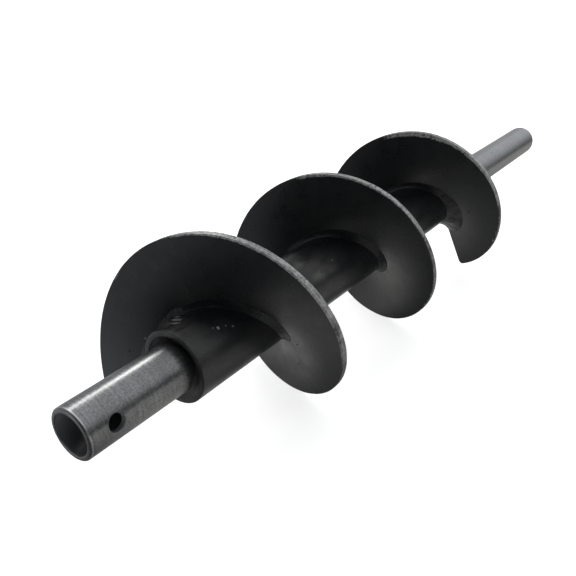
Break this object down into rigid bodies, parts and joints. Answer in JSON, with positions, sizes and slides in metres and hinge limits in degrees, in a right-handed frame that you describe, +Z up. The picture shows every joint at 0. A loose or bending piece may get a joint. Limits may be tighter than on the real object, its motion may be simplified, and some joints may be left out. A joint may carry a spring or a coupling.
{
  "type": "flighted auger screw section",
  "caption": "Painted steel screw section with a right-handed helical flight welded round a tube, a cross-drilled hollow drive spigot and a plain tail spigot.",
  "frame": {"origin": "below the middle of the shaft, on the plane the flight rims rest on", "axes": "+X along the shaft from the drive end to the tail end, +Z up"},
  "size_m": [0.71, 0.1496, 0.1497],
  "materials": {
    "black_paint": "satin",
    "weld_paint": "satin",
    "bare_steel": "satin"
  },
  "bodies": {
    "root": {"drive_spigot": "bare_steel", "tail_spigot": "bare_steel", "centre_tube": "black_paint", "drive_bush": "black_paint", "tail_bush": "black_paint", "flight_1": "black_paint", "flight_2": "black_paint", "flight_3": "black_paint", "drive_ring_weld": "weld_paint", "tail_ring_weld": "weld_paint", "flight_start_weld": "weld_paint", "flight_end_weld": "weld_paint", "flight_1_fillet_weld": "weld_paint", "flight_2_fillet_weld": "weld_paint", "flight_3_fillet_weld": "weld_paint", "seam_weld_1": "weld_paint", "seam_weld_2": "weld_paint", "back_stitch_weld_1": "weld_paint", "back_stitch_weld_2": "weld_paint", "back_stitch_weld_3": "weld_paint", "back_stitch_weld_4": "weld_paint", "back_stitch_weld_5": "weld_paint", "back_stitch_weld_6": "weld_paint", "back_stitch_weld_7": "weld_paint", "back_stitch_weld_8": "weld_paint"}
  },
  "joints": []
}
